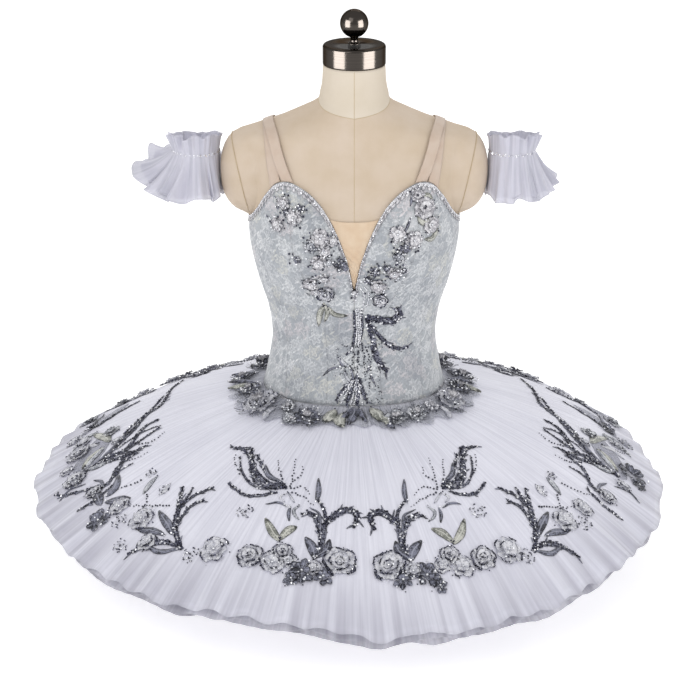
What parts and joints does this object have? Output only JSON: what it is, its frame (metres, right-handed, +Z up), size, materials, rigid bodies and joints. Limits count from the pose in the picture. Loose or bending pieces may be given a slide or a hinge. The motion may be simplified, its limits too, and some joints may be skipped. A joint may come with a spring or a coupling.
{
  "type": "ballet tutu on a limbless dress form",
  "caption": "Classical ballet tutu with a sweetheart bodice, stiff net skirt, flowered hip wreath and net armlets, standing on a limbless dress form.",
  "frame": {"origin": "centre of the dress form's base board, on the floor", "axes": "+Z up, -Y to the front of the garment, +X to the right as seen from the front"},
  "size_m": [1.0144, 1.0075, 0.8636],
  "materials": {
    "form_linen": "cream linen stretched smooth over the form",
    "base_wood": "oiled wood",
    "cap_metal": "dark brushed gunmetal",
    "brocade": "pale grey brocade with a silvery woven flower pattern",
    "nude_mesh": "fine skin-coloured stretch mesh",
    "nude_elastic": "matt skin-coloured elastic",
    "panty_cloth": "plain white cotton",
    "net": "stiff white net with a faint lilac cast",
    "lace": "charcoal and silver corded lace flowers with beads",
    "elastic": "white elastic with silver sequins"
  },
  "bodies": {
    "root": {"form_torso": "form_linen", "base_board": "base_wood", "neck_cap": "cap_metal", "finial": "cap_metal", "bodice_centre_front_left": "brocade", "bodice_centre_front_right": "brocade", "bodice_side_front_left": "brocade", "bodice_side_front_right": "brocade", "bodice_side_left": "brocade", "bodice_side_right": "brocade", "bodice_side_back_left": "brocade", "bodice_side_back_right": "brocade", "bodice_back_left": "brocade", "bodice_back_right": "brocade", "plunge_insert": "nude_mesh", "strap_outer_left": "nude_elastic", "strap_outer_right": "nude_elastic", "strap_inner_left": "nude_elastic", "strap_inner_right": "nude_elastic", "panty": "panty_cloth", "net_top": "net", "net_second": "net", "net_third": "net", "net_fourth": "net", "net_fifth": "net", "hip_wreath": "lace", "armlet_band_left": "elastic", "armlet_band_right": "elastic", "armlet_ruffle_left": "net", "armlet_ruffle_right": "net"}
  },
  "joints": []
}
